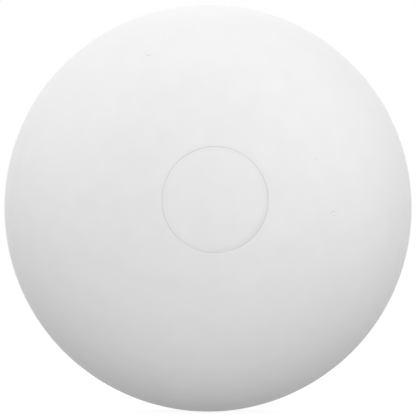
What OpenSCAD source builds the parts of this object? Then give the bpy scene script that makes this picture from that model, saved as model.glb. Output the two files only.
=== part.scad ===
// Lacrosse ball: one solid, compression-moulded rubber ball.
// The mould axis runs along Y. The half of the mould at -Y holds a round insert, whose edge
// leaves a fine ring round that pole, with a slight bevel inside it. The two halves meet in the
// XZ plane, where trimming the flash leaves a narrow flat land with a fine line in its middle.

/* [Ball] */
// Circumference over the moulded surface, which is how a ball is gauged
circumference = 199.5; // [197:0.5:203]

/* [Insert ring] */
// Diameter of the ring, measured straight across the groove's middle
ring_d = 15.6; // [12:0.2:20]
// Width of the ring's groove at the surface
ring_groove_w = 0.26; // [0.2:0.02:0.5]
// Depth of the ring's groove
ring_groove_depth = 0.1; // [0.08:0.02:0.3]
// Width of the bevel inside the ring, measured to the middle of the groove
ring_bevel_w = 0.44; // [0.3:0.02:0.8]
// How far the bevel has fallen at the middle of the groove
ring_bevel_drop = 0.02; // [0.02:0.01:0.06]

/* [Parting line] */
// Width of the flat land where the flash was trimmed
land_w = 2.6; // [1:0.2:4]
// Width of the parting line's groove at the land
parting_groove_w = 0.3; // [0.2:0.02:0.6]
// Depth of the parting line's groove below the land
parting_groove_depth = 0.08; // [0.06:0.02:0.2]

/* [Hidden] */

ball_d = circumference / PI;
ball_r = ball_d / 2;
// Radius of the land, which is the chord of the ball's section across its width
land_r = height_at(land_w / 2);
// Angle from the mould axis out to the middle of the ring, and to the parting line
ring_angle = asin(ring_d / ball_d);
parting_angle = 90;
// How far a cut runs past the surface that it opens
overrun = 0.5;
// Fineness of the drawn circles
$fn = 180;

// Height of the ball's section at a distance from its axis
function height_at(distance) = sqrt(pow(ball_r, 2) - pow(distance, 2));

// A vee with its mouth on the X axis and its point below it
module groove_section(width, depth) {
    mouth_w = width * (depth + overrun) / depth;
    polygon([[-mouth_w / 2, overrun], [mouth_w / 2, overrun], [0, -depth]]);
}

// What a bevel takes off the ball, from the surface on the pole's side down to the origin
module bevel_section(width, drop) {
    surface_fall = ball_r - height_at(width);
    reach = width * (drop + overrun) / (drop - surface_fall);
    polygon([[0, -drop], [-reach, overrun], [0, overrun]]);
}

// Puts a section at an angle from the mould axis, with its Y pointing outwards
module out_at(angle, radius) {
    rotate(-angle) translate([0, radius]) children();
}

// Half of the ball's section, with the mould axis along Y
module ball_section() {
    difference() {
        intersection() {
            circle(d = ball_d);
            translate([0, -ball_r]) square([land_r, ball_d]);
        }
        out_at(ring_angle, ball_r) groove_section(ring_groove_w, ring_groove_depth);
        out_at(ring_angle, ball_r) bevel_section(ring_bevel_w, ring_bevel_drop);
        out_at(parting_angle, land_r) groove_section(parting_groove_w, parting_groove_depth);
    }
}

module ball() {
    color("white") rotate([90, 0, 0]) rotate_extrude() ball_section();
}

ball();
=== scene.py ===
from math import asin, cos, pi, radians, sin, tan
from typing import NamedTuple

import bmesh
import bpy
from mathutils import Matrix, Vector


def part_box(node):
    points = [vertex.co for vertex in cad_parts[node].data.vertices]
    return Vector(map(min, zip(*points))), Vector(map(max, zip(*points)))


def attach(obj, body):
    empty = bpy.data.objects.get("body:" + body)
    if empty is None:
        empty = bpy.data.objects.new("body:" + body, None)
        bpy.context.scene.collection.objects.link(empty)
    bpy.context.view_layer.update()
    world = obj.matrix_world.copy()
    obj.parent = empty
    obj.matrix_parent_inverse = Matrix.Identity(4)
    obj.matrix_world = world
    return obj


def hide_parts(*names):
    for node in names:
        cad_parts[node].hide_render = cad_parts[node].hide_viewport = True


# A lacrosse ball: one white rubber moulding, in a white studio

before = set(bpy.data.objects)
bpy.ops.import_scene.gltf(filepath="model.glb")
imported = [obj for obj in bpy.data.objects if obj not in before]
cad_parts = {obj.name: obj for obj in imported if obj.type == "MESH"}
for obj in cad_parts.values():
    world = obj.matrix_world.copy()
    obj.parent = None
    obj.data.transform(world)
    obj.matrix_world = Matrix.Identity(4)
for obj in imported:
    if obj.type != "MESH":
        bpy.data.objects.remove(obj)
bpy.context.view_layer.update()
bpy.context.scene.view_settings.view_transform = "Standard"

MM = 0.001

# The ball, from the frame, whose origin is the ball's centre

ball_low, ball_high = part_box("ball")
BALL_R = (ball_high.y - ball_low.y) / 2
FRONT_POLE = Vector((0, -1, 0))


def over_surface(ring_d):
    """How far over the surface a ring lies from its pole, from its diameter straight across."""
    return BALL_R * asin(ring_d / 2 / BALL_R)


# The ring that the edge of the mould's round insert leaves, and the finer line inside it, where
# that edge begins to fall

RING_ARC = over_surface(15.6 * MM)
RING_GROOVE_W = 0.26 * MM
RING_GROOVE_DEPTH = 0.05 * MM
EDGE_ARC = over_surface(14.74 * MM)
EDGE_LINE_W = 0.2 * MM
EDGE_LINE_DEPTH = 0.012 * MM
# How dark that line is drawn, next to the ring's groove: dirt and painted shade in its hollow
EDGE_LINE_DIRT_AND_SHADE = 0.25
EDGE_DROP = 0.015 * MM
# The insert sits a little askew, so a wider band bends down to the groove on this side
LEAN_ARC = over_surface(13 * MM)
LEAN_DROP = 0.032 * MM
LEAN_SIDE = Vector((0.7, 0, -0.7))
# The insert's edge is worn away on this side. The wear begins this far round from it
WORN_SIDE = Vector((-0.7, 0, -0.7))
WEAR_BEGINS = radians(60)

# The parting line, half way between the poles, on the flat land where the flash was trimmed

PARTING_ARC = BALL_R * pi / 2
PARTING_GROOVE_W = 0.3 * MM
PARTING_GROOVE_DEPTH = 0.08 * MM
PARTING_WAVER = 0.12 * MM
# The tears in the flash, nearly 2 mm long, which the groove's course and depth follow
TEAR_SIZE = BALL_R / 18
TEAR_DETAIL = 3
TEAR_ROUGHNESS = 0.6
LAND_W = 2.6 * MM
LAND_R = (BALL_R ** 2 - (LAND_W / 2) ** 2) ** 0.5
# How much steeper than a groove's the trimmed band's edges are
TRIM_STEEPNESS = 4
# The land is reckoned only where the sine of the angle from the mould axis is above this. It lies
# far from the poles, where the sine comes to nothing
LEAST_SINE = 0.5

# The slight unevenness of a solid rubber moulding

SWELL_HEIGHT = 0.02 * MM
SWELL_SIZE = 12 * MM
SWELL_DETAIL = 1

# The middle of what a noise texture gives
NOISE_MIDDLE = 0.5

# Steps of the mesh over the surface

COLUMNS = 300
FINE_STEP = 0.03 * MM
COARSE_STEP = 0.65 * MM
STEP_GROWTH = 1.2
# Digits after the point, in metres, to which two rows count as one
ROW_DIGITS = 9

# The photograph: its size, the radius of the ball's outline in it, and where it was taken from

PHOTO_SIDE_PX = 416
OUTLINE_RADIUS_PX = 203.66
CAMERA_DISTANCE = 0.5
CAMERA_TURN = radians(-1.90)
CAMERA_RISE = radians(-2.25)
SENSOR_W = 36
NEAR_CLIP = 5 * MM


class Nick(NamedTuple):
    """A small cut or dent in the rubber, as the photograph shows it, and how much dirt and painted
    shade darken it.
    """
    pixel: tuple
    length: float
    width: float
    depth: float
    dirt_and_shade: float
    turn: float = 0
    bow: float = 0


NICKS = (
    Nick((148.5, 55.1), 0.85 * MM, 0.3 * MM, 0.05 * MM, 0.45, radians(-20)),
    Nick((144.8, 52.8), 0.4 * MM, 0.32 * MM, 0.02 * MM, 0.22),
    Nick((333, 213.4), 1.1 * MM, 0.38 * MM, 0.035 * MM, 0.3, radians(20), 0.26 * MM),
    Nick((334.1, 215.7), 0.66 * MM, 0.22 * MM, 0.02 * MM, 0.2),
    Nick((315.7, 158.9), 0.7 * MM, 0.4 * MM, 0.02 * MM, 0.16),
    Nick((147, 139.5), 0.4 * MM, 0.4 * MM, 0.025 * MM, 0.15),
    Nick((108.5, 122.5), 0.36 * MM, 0.32 * MM, 0.02 * MM, 0.15),
    Nick((190.5, 343.5), 0.36 * MM, 0.32 * MM, 0.02 * MM, 0.2),
    Nick((164.5, 34.5), 0.36 * MM, 0.3 * MM, 0.02 * MM, 0.2),
)


# The camera


def direction(turn, rise):
    """The way out from the ball, at a turn from its front and a rise above the horizon."""
    return Vector((sin(turn) * cos(rise), -cos(turn) * cos(rise), sin(rise)))


def aim(thing, place):
    """Puts the camera or a lamp in its place and points it at the ball's centre."""
    thing.location = place
    thing.rotation_euler = (-place).to_track_quat("-Z", "Y").to_euler()


def make_camera():
    """The photograph's camera. Its lens gives the ball's outline the radius that it has there."""
    data = bpy.data.cameras.new("camera")
    outline_slope = tan(asin(BALL_R / CAMERA_DISTANCE))
    data.sensor_width = SENSOR_W
    data.lens = SENSOR_W * OUTLINE_RADIUS_PX / PHOTO_SIDE_PX / outline_slope
    data.clip_start = NEAR_CLIP
    camera = bpy.data.objects.new("camera", data)
    bpy.context.scene.collection.objects.link(camera)
    aim(camera, CAMERA_DISTANCE * direction(CAMERA_TURN, CAMERA_RISE))
    bpy.context.scene.camera = camera
    bpy.context.view_layer.update()


def on_ball(pixel):
    """The point of the ball that shows at a pixel of the photograph."""
    camera = bpy.context.scene.camera
    half = PHOTO_SIDE_PX / 2
    reach = camera.data.lens / SENSOR_W * PHOTO_SIDE_PX
    ray = Vector((pixel[0] - half, half - pixel[1], -reach)).normalized()
    ray = camera.matrix_world.to_3x3() @ ray
    start = camera.location
    nearest = -start.dot(ray)
    inside = BALL_R ** 2 - (start.length ** 2 - nearest ** 2)
    return start + ray * (nearest - inside ** 0.5)


# Nodes and colours


def linear(colour):
    """An sRGB hex colour as linear red, green, blue and alpha."""
    shares = [int(colour[i:i + 2], 16) / 255 for i in (1, 3, 5)]
    return [s / 12.92 if s <= 0.04045 else ((s + 0.055) / 1.055) ** 2.4 for s in shares] + [1]


def add(tree, kind, inputs=None, **settings):
    """Adds a node. An input takes a value, a socket, or a node, which gives its first output."""
    node = tree.nodes.new(kind)
    for name, value in settings.items():
        setattr(node, name, value)
    in_use = {socket.name: socket for socket in reversed(node.inputs) if socket.enabled}
    for key, value in (inputs or {}).items():
        socket = node.inputs[key] if isinstance(key, int) else in_use[key]
        if isinstance(value, bpy.types.Node):
            value = next(output for output in value.outputs if output.enabled)
        if isinstance(value, bpy.types.NodeSocket):
            tree.links.new(value, socket)
        else:
            socket.default_value = value
    return node


# The blank: a plain ball with nicks


def steps(start, stop):
    """Places from start to stop, close together at start and growing to the coarse step."""
    step, done = FINE_STEP, [0]
    while done[-1] < abs(stop - start):
        done.append(done[-1] + step)
        step = min(step * STEP_GROWTH, COARSE_STEP)
    fit = (stop - start) / done[-1]
    return [start + fit * d for d in done]


def row_arcs():
    """How far over the surface from the front pole each row of the mesh runs."""
    marks = (EDGE_ARC, RING_ARC, PARTING_ARC)
    between = [(near + far) / 2 for near, far in zip(marks, marks[1:])]
    arcs = set()
    for mark, low, high in zip(marks, [0] + between, between + [2 * PARTING_ARC]):
        for end in (low, high):
            arcs.update(round(arc, ROW_DIGITS) for arc in steps(mark, end))
    return sorted(arcs)


def make_blank():
    """A plain ball whose rows run round the mould axis."""
    turns = [2 * pi * i / COLUMNS for i in range(COLUMNS)]
    bm = bmesh.new()
    rows = []
    for arc in row_arcs()[1:-1]:
        middle, out = BALL_R * cos(arc / BALL_R), BALL_R * sin(arc / BALL_R)
        rows.append([bm.verts.new((out * cos(t), -middle, out * sin(t))) for t in turns])
    front, back = bm.verts.new(FRONT_POLE * BALL_R), bm.verts.new(-FRONT_POLE * BALL_R)
    for i in range(COLUMNS):
        bm.faces.new((front, rows[0][i - 1], rows[0][i]))
        bm.faces.new((back, rows[-1][i], rows[-1][i - 1]))
        for near, far in zip(rows, rows[1:]):
            bm.faces.new((near[i], near[i - 1], far[i - 1], far[i]))
    bmesh.ops.recalc_face_normals(bm, faces=bm.faces)
    return bm


NICK_CUTS = 8
NICK_MARGIN = 0.5 * MM


def near_nick(bm, nick):
    """The mesh's points close enough to a nick to move with it."""
    middle = on_ball(nick.pixel)
    reach = nick.length / 2 + NICK_MARGIN
    return {v for v in bm.verts if (v.co - middle).length < reach}


def cut_finer(bm):
    """Cuts the mesh finer round the nicks, all at once, and rounds it off again."""
    edges = set()
    for nick in NICKS:
        points = near_nick(bm, nick)
        edges.update(e for v in points for e in v.link_edges if e.other_vert(v) in points)
    bmesh.ops.subdivide_edges(bm, edges=list(edges), cuts=NICK_CUTS, use_grid_fill=True)
    for v in bm.verts:
        v.co = v.co.normalized() * BALL_R


def press_nick(bm, nick, dirt_and_shade):
    """Presses in a nick: a furrow with round ends, which may be bowed, with dirt and painted shade
    in it.
    """
    camera = bpy.context.scene.camera
    middle = on_ball(nick.pixel)
    right = camera.matrix_world.to_3x3() @ Vector((cos(nick.turn), sin(nick.turn), 0))
    out = middle.normalized()
    along = (right - right.dot(out) * out).normalized()
    across = out.cross(along)
    for v in near_nick(bm, nick):
        u, w = (v.co - middle).dot(along), (v.co - middle).dot(across)
        w -= nick.bow * (1 - (2 * u / nick.length) ** 2)
        past_end = max(0, abs(u) - (nick.length - nick.width) / 2)
        share = (past_end ** 2 + w ** 2) / (nick.width / 2) ** 2
        if share < 1:
            v.co -= out * nick.depth * (1 - share) ** 2
            # The furrow is drawn darker: dirt and painted shade
            v[dirt_and_shade] = nick.dirt_and_shade * (1 - share)


# The marks of the mould, pressed into the blank by a geometry tree


def mark_share(tree, distance, width):
    """1 in the middle of a mark, falling smoothly to 0 half its width away."""
    half = add(tree, "ShaderNodeMath", {0: width, 1: 0.5}, operation="MULTIPLY")
    from_middle = add(tree, "ShaderNodeMath", {0: distance}, operation="ABSOLUTE")
    return add(tree, "ShaderNodeMapRange",
               {"Value": from_middle, "From Max": half, "To Min": 1, "To Max": 0},
               interpolation_type="SMOOTHSTEP")


def mark_tree(material):
    """Presses in the insert's ring, the parting line on its trimmed band, and the slow swells."""
    sizes = {
        "Ball Radius": BALL_R,
        "Ring Arc": RING_ARC,
        "Ring Groove Width": RING_GROOVE_W,
        "Ring Groove Depth": RING_GROOVE_DEPTH,
        "Edge Arc": EDGE_ARC,
        "Edge Line Width": EDGE_LINE_W,
        "Edge Line Depth": EDGE_LINE_DEPTH,
        "Edge Drop": EDGE_DROP,
        "Lean Arc": LEAN_ARC,
        "Lean Drop": LEAN_DROP,
        "Parting Arc": PARTING_ARC,
        "Parting Groove Width": PARTING_GROOVE_W,
        "Parting Groove Depth": PARTING_GROOVE_DEPTH,
        "Parting Waver": PARTING_WAVER,
        "Tear Size": TEAR_SIZE,
        "Land Width": LAND_W,
        "Land Radius": LAND_R,
        "Swell Height": SWELL_HEIGHT,
        "Swell Size": SWELL_SIZE,
    }
    tree = bpy.data.node_groups.new("mould marks", "GeometryNodeTree")
    tree.interface.new_socket("Blank", in_out="INPUT", socket_type="NodeSocketGeometry")
    tree.interface.new_socket("Ball", in_out="OUTPUT", socket_type="NodeSocketGeometry")
    keys = {}
    for name in sizes:
        socket = tree.interface.new_socket(name, in_out="INPUT", socket_type="NodeSocketFloat")
        keys[socket.identifier] = sizes[name]
    size = add(tree, "NodeGroupInput").outputs

    # Where a point lies: the way out to it, and how far over the surface it is from the front pole
    point = add(tree, "GeometryNodeInputPosition")
    out = add(tree, "ShaderNodeVectorMath", {0: point}, operation="NORMALIZE")
    front = add(tree, "ShaderNodeVectorMath", {0: out, 1: FRONT_POLE}, operation="DOT_PRODUCT")
    angle = add(tree, "ShaderNodeMath", {0: front.outputs["Value"]}, operation="ARCCOSINE")
    arc = add(tree, "ShaderNodeMath", {0: angle, 1: size["Ball Radius"]}, operation="MULTIPLY")

    # The ring's groove, and the finer line inside it, which is worn away on one side
    past_ring = add(tree, "ShaderNodeMath", {0: arc, 1: size["Ring Arc"]}, operation="SUBTRACT")
    ring = mark_share(tree, past_ring, size["Ring Groove Width"])
    ring_sink = add(tree, "ShaderNodeMath", {0: ring, 1: size["Ring Groove Depth"]},
                    operation="MULTIPLY")
    past_edge = add(tree, "ShaderNodeMath", {0: arc, 1: size["Edge Arc"]}, operation="SUBTRACT")
    worn = add(tree, "ShaderNodeVectorMath", {0: out, 1: WORN_SIDE}, operation="DOT_PRODUCT")
    edge_out = sin(EDGE_ARC / BALL_R)
    sharp = add(tree, "ShaderNodeMapRange",
                {"Value": worn.outputs["Value"], "From Min": edge_out * cos(WEAR_BEGINS),
                 "From Max": edge_out, "To Min": 1, "To Max": 0},
                interpolation_type="SMOOTHSTEP")
    line = mark_share(tree, past_edge, size["Edge Line Width"])
    line = add(tree, "ShaderNodeMath", {0: line, 1: sharp}, operation="MULTIPLY")
    line_sink = add(tree, "ShaderNodeMath", {0: line, 1: size["Edge Line Depth"]},
                    operation="MULTIPLY")

    # The insert's edge, which falls to the groove, and further where the insert leans. The groove's
    # outer wall, which is half the groove's width, takes the fall back
    outer_wall = add(tree, "ShaderNodeMath", {0: size["Ring Groove Width"], 1: 0.5},
                     operation="MULTIPLY")
    fallen = add(tree, "ShaderNodeMapRange",
                 {"Value": past_ring, "From Max": outer_wall, "To Min": 1, "To Max": 0})
    edge = add(tree, "ShaderNodeMapRange",
               {"Value": arc, "From Min": size["Edge Arc"], "From Max": size["Ring Arc"]})
    edge = add(tree, "ShaderNodeMath", {0: edge, 1: fallen}, operation="MULTIPLY")
    edge = add(tree, "ShaderNodeMath", {0: edge, 1: sharp}, operation="MULTIPLY")
    edge_sink = add(tree, "ShaderNodeMath", {0: edge, 1: size["Edge Drop"]}, operation="MULTIPLY")
    side = add(tree, "ShaderNodeVectorMath", {0: out, 1: LEAN_SIDE}, operation="DOT_PRODUCT")
    side = add(tree, "ShaderNodeMapRange",
               {"Value": side.outputs["Value"], "From Max": sin(RING_ARC / BALL_R)},
               interpolation_type="SMOOTHSTEP")
    bend = add(tree, "ShaderNodeMapRange",
               {"Value": arc, "From Min": size["Lean Arc"], "From Max": size["Ring Arc"]},
               interpolation_type="SMOOTHSTEP")
    lean = add(tree, "ShaderNodeMath", {0: bend, 1: side}, operation="MULTIPLY")
    lean = add(tree, "ShaderNodeMath", {0: lean, 1: fallen}, operation="MULTIPLY")
    lean_sink = add(tree, "ShaderNodeMath", {0: lean, 1: size["Lean Drop"]}, operation="MULTIPLY")

    # The land, which cuts the ball off flat
    around = add(tree, "ShaderNodeMath", {0: angle}, operation="SINE")
    around = add(tree, "ShaderNodeMath", {0: around, 1: LEAST_SINE}, operation="MAXIMUM")
    land = add(tree, "ShaderNodeMath", {0: size["Land Radius"], 1: around}, operation="DIVIDE")
    land_sink = add(tree, "ShaderNodeMath", {0: size["Ball Radius"], 1: land}, operation="SUBTRACT")
    land_sink = add(tree, "ShaderNodeMath", {0: land_sink, 1: 0}, operation="MAXIMUM")

    # The parting line's groove, which wavers and changes depth on its way round
    tear_scale = add(tree, "ShaderNodeMath", {0: size["Ball Radius"], 1: size["Tear Size"]},
                     operation="DIVIDE")
    tear = add(tree, "ShaderNodeTexNoise", {
        "Vector": out,
        "Scale": tear_scale,
        "Detail": TEAR_DETAIL,
        "Roughness": TEAR_ROUGHNESS,
    })
    waver = add(tree, "ShaderNodeMath", {0: tear, 1: NOISE_MIDDLE}, operation="SUBTRACT")
    waver = add(tree, "ShaderNodeMath", {0: waver, 1: size["Parting Waver"]}, operation="MULTIPLY")
    past_parting = add(tree, "ShaderNodeMath", {0: arc, 1: size["Parting Arc"]},
                       operation="SUBTRACT")
    past_parting = add(tree, "ShaderNodeMath", {0: past_parting, 1: waver}, operation="ADD")
    parting = mark_share(tree, past_parting, size["Parting Groove Width"])
    depth = add(tree, "ShaderNodeMath", {0: tear, 1: size["Parting Groove Depth"]},
                operation="MULTIPLY")
    parting_sink = add(tree, "ShaderNodeMath", {0: parting, 1: depth}, operation="MULTIPLY")
    band = mark_share(tree, past_parting, size["Land Width"])
    band = add(tree, "ShaderNodeMath", {0: band, 1: TRIM_STEEPNESS}, operation="MULTIPLY",
               use_clamp=True)

    # The moulding's slow swells
    swell_scale = add(tree, "ShaderNodeMath", {0: size["Ball Radius"], 1: size["Swell Size"]},
                      operation="DIVIDE")
    swell = add(tree, "ShaderNodeTexNoise",
                {"Vector": out, "Scale": swell_scale, "Detail": SWELL_DETAIL})
    sink = add(tree, "ShaderNodeMath", {0: swell, 1: size["Swell Height"]}, operation="MULTIPLY")

    # All of them together move each point in towards the centre
    for mark in (ring_sink, line_sink, edge_sink, lean_sink, land_sink, parting_sink):
        sink = add(tree, "ShaderNodeMath", {0: sink, 1: mark}, operation="ADD")
    sink = add(tree, "ShaderNodeMath", {0: sink, 1: -1}, operation="MULTIPLY")
    offset = add(tree, "ShaderNodeVectorMath", {0: out, "Scale": sink}, operation="SCALE")

    # What the rubber needs to know of the marks, kept on the mesh for its material
    # The grooves' share, which also darkens the rubber: dirt and painted shade
    groove = add(tree, "ShaderNodeMath", {0: line, 1: EDGE_LINE_DIRT_AND_SHADE}, operation="MULTIPLY")
    groove = add(tree, "ShaderNodeMath", {0: groove, 1: ring}, operation="MAXIMUM")
    groove = add(tree, "ShaderNodeMath", {0: groove, 1: parting}, operation="MAXIMUM")
    shaped = size["Blank"]
    for name, share in (("groove", groove), ("lean", lean), ("trimmed", band)):
        shaped = add(tree, "GeometryNodeStoreNamedAttribute",
                     {"Geometry": shaped, "Name": name, "Value": share},
                     data_type="FLOAT", domain="POINT")
    shaped = add(tree, "GeometryNodeSetPosition", {"Geometry": shaped, "Offset": offset})
    shaped = add(tree, "GeometryNodeRealizeInstances", {"Geometry": shaped})
    shaped = add(tree, "GeometryNodeSetMaterial", {"Geometry": shaped, "Material": material})
    add(tree, "NodeGroupOutput", {"Ball": shaped})
    return tree, keys


def as_object(bm, name):
    """A mesh object with smooth faces, made of a bmesh, which is freed."""
    mesh = bpy.data.meshes.new(name)
    for face in bm.faces:
        face.smooth = True
    bm.to_mesh(mesh)
    bm.free()
    piece = bpy.data.objects.new(name, mesh)
    bpy.context.scene.collection.objects.link(piece)
    return piece


def make_ball(material):
    """The whole ball: the blank, its nicks, and the marks of the mould."""
    bm = make_blank()
    cut_finer(bm)
    # How dark each nick is drawn: dirt and painted shade
    dirt_and_shade = bm.verts.layers.float.new("nick")
    for nick in NICKS:
        press_nick(bm, nick, dirt_and_shade)
    ball = as_object(bm, "moulded_ball")
    tree, keys = mark_tree(material)
    marks = ball.modifiers.new("mould marks", "NODES")
    marks.node_group = tree
    for key, value in keys.items():
        marks[key] = value
    evaluated = ball.evaluated_get(bpy.context.evaluated_depsgraph_get())
    shaped = bpy.data.meshes.new_from_object(evaluated)
    ball.modifiers.clear()
    blank = ball.data
    ball.data = shaped
    bpy.data.meshes.remove(blank)
    return ball


# The rubber

CLOUD_SIZE = 3.5 * MM
CLOUD_DETAIL = 3
GRAIN_SIZE = 0.4 * MM
GRAIN_DETAIL = 2
GRAIN_HEIGHT = 0.003 * MM
SPECK_SPACING = 4 * MM
SPECK_R = 0.16 * MM
RUBBER_IOR = 1.52
# The satin is smoothest and roughest by this much, from cloud to cloud
SMOOTHEST = 0.64
ROUGHEST = 0.72
# How much rougher the trimmed band is
TRIM_ROUGHER = 0.08
# How much darker the rubber is drawn where the insert's edge leans, next to the ring's groove
LEAN_DARKENING = 0.2


def make_rubber():
    """White rubber, moulded in a fine-blasted steel mould: an even satin, a little chalky."""
    material = bpy.data.materials.new("moulded white rubber")
    material.use_nodes = True
    tree = material.node_tree
    tree.nodes.clear()
    place = add(tree, "ShaderNodeTexCoord").outputs["Object"]
    groove = add(tree, "ShaderNodeAttribute", attribute_name="groove").outputs["Fac"]
    lean = add(tree, "ShaderNodeAttribute", attribute_name="lean").outputs["Fac"]
    nick = add(tree, "ShaderNodeAttribute", attribute_name="nick").outputs["Fac"]
    trimmed = add(tree, "ShaderNodeAttribute", attribute_name="trimmed").outputs["Fac"]

    # Faint clouds, where the filler and the bloom lie unevenly
    clouds = add(tree, "ShaderNodeTexNoise",
                 {"Vector": place, "Scale": 1 / CLOUD_SIZE, "Detail": CLOUD_DETAIL})
    colour = add(tree, "ShaderNodeMix",
                 {"Factor": clouds, "A": linear("#EAEAEA"), "B": linear("#F0F0F0")},
                 data_type="RGBA")

    # A few grey specks of filler
    filler = add(tree, "ShaderNodeTexVoronoi", {"Vector": place, "Scale": 1 / SPECK_SPACING})
    speck = add(tree, "ShaderNodeMapRange",
                {"Value": filler.outputs["Distance"], "From Max": SPECK_R / SPECK_SPACING,
                 "To Min": 1, "To Max": 0},
                interpolation_type="SMOOTHSTEP")
    colour = add(tree, "ShaderNodeMix", {"Factor": speck, "A": colour, "B": linear("#E1E1E1")},
                 data_type="RGBA")

    # Dirt and painted shade darken the grooves, and the nicks more. Along the insert's edge, where
    # it
    # # lies deepest, the rubber is drawn a little darker too
    dirt_and_shade = add(tree, "ShaderNodeMath", {0: lean, 1: LEAN_DARKENING, 2: groove},
               operation="MULTIPLY_ADD", use_clamp=True)
    colour = add(tree, "ShaderNodeMix", {"Factor": dirt_and_shade, "A": colour, "B": linear("#DADADA")},
                 data_type="RGBA")
    colour = add(tree, "ShaderNodeMix", {"Factor": nick, "A": colour, "B": linear("#BEBEBE")},
                 data_type="RGBA")

    # The mould's blasted grain, which gives the satin. The real one, under 0.1 mm, is too fine to
    # show, so it is drawn coarser
    grain = add(tree, "ShaderNodeTexNoise",
                {"Vector": place, "Scale": 1 / GRAIN_SIZE, "Detail": GRAIN_DETAIL})
    relief = add(tree, "ShaderNodeBump", {"Height": grain, "Distance": GRAIN_HEIGHT, "Strength": 1})
    roughness = add(tree, "ShaderNodeMapRange",
                    {"Value": clouds, "To Min": SMOOTHEST, "To Max": ROUGHEST})
    roughness = add(tree, "ShaderNodeMath", {0: trimmed, 1: TRIM_ROUGHER, 2: roughness},
                    operation="MULTIPLY_ADD")
    surface = add(tree, "ShaderNodeBsdfPrincipled", {
        "Base Color": colour,
        "Roughness": roughness,
        "IOR": RUBBER_IOR,
        "Normal": relief,
    })
    add(tree, "ShaderNodeOutputMaterial", {"Surface": surface})
    return material


make_camera()
ball = make_ball(make_rubber())
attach(ball, "root")
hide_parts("ball")

# The stage: an opal sheet on a light table, in a white tent, with soft lamps round it

FLOOR_R = 1.5
FLOOR_SIDES = 64
# The sheet glows within GLOW_R, and is dark from DARK_R on
GLOW_R = 0.1
DARK_R = 0.16
FLOOR_GLOW = 0.275
# What lifts it to white where it is seen: less where it glows
LIFT_NEAR = 0.6
LIFT_FAR = 1
TENT_FILL = 0.1
LAMP_DISTANCE = 0.7


class Softbox(NamedTuple):
    """A round soft lamp: its turn from the ball's front, its rise, its width and its watts."""
    name: str
    turn: float
    rise: float
    width: float
    power: float


SOFTBOXES = (
    Softbox("front lamp", radians(0), radians(5), 0.35, 3.2),
    Softbox("right lamp", radians(84), radians(36), 0.7, 2.75),
    Softbox("left lamp", radians(-84), radians(36), 0.7, 1.2),
    Softbox("left rear lamp", radians(-108), radians(36), 0.7, 1.9),
    Softbox("top lamp", radians(0), radians(90), 0.7, 0.88),
    Softbox("back lamp", radians(180), radians(16), 1.1, 2.5),
)


def shows_white(tree):
    """1 for rays that find the background white: the camera's, and reflected or refracted ones."""
    rays = add(tree, "ShaderNodeLightPath").outputs
    seen = add(tree, "ShaderNodeMath", {0: rays["Is Camera Ray"], 1: rays["Is Glossy Ray"]},
               operation="MAXIMUM")
    return add(tree, "ShaderNodeMath", {0: seen, 1: rays["Is Transmission Ray"]},
               operation="MAXIMUM")


def make_floor():
    """The opal sheet, which glows a little and is lifted to white where it is seen."""
    bm = bmesh.new()
    bmesh.ops.create_circle(bm, cap_ends=True, segments=FLOOR_SIDES, radius=FLOOR_R)
    bmesh.ops.translate(bm, verts=bm.verts, vec=(0, 0, ball_low.z))
    floor = as_object(bm, "floor")
    material = bpy.data.materials.new("opal sheet")
    material.use_nodes = True
    tree = material.node_tree
    tree.nodes.clear()
    place = add(tree, "ShaderNodeTexCoord").outputs["Object"]
    from_ball = add(tree, "ShaderNodeVectorMath", {0: place}, operation="LENGTH").outputs["Value"]
    away = add(tree, "ShaderNodeMapRange",
               {"Value": from_ball, "From Min": GLOW_R, "From Max": DARK_R},
               interpolation_type="SMOOTHSTEP")
    glow = add(tree, "ShaderNodeMix", {"Factor": away, "A": FLOOR_GLOW, "B": 0.0})
    lift = add(tree, "ShaderNodeMix", {"Factor": away, "A": LIFT_NEAR, "B": LIFT_FAR})
    glow = add(tree, "ShaderNodeMath", {0: shows_white(tree), 1: lift, 2: glow},
               operation="MULTIPLY_ADD")
    matte = add(tree, "ShaderNodeBsdfDiffuse", {"Color": linear("#7C7C7C")})
    lit = add(tree, "ShaderNodeEmission", {"Color": linear("#FFFFFF"), "Strength": glow})
    both = add(tree, "ShaderNodeAddShader", {0: matte, 1: lit})
    add(tree, "ShaderNodeOutputMaterial", {"Surface": both})
    floor.data.materials.append(material)


def make_tent():
    """The white tent, dimmer as a light than it looks."""
    world = bpy.data.worlds.new("tent")
    world.use_nodes = True
    bpy.context.scene.world = world
    tree = world.node_tree
    tree.nodes.clear()
    fill = add(tree, "ShaderNodeMix", {"Factor": shows_white(tree), "A": TENT_FILL, "B": 1.0})
    tent = add(tree, "ShaderNodeBackground", {"Color": linear("#FFFFFF"), "Strength": fill})
    add(tree, "ShaderNodeOutputWorld", {"Surface": tent})


def make_lamp(softbox):
    """A soft lamp that lights the ball and isn't seen itself."""
    data = bpy.data.lights.new(softbox.name, "AREA")
    data.shape = "DISK"
    data.size = softbox.width
    data.energy = softbox.power
    lamp = bpy.data.objects.new(softbox.name, data)
    lamp.visible_camera = False
    bpy.context.scene.collection.objects.link(lamp)
    aim(lamp, LAMP_DISTANCE * direction(softbox.turn, softbox.rise))


make_floor()
make_tent()
for softbox in SOFTBOXES:
    make_lamp(softbox)
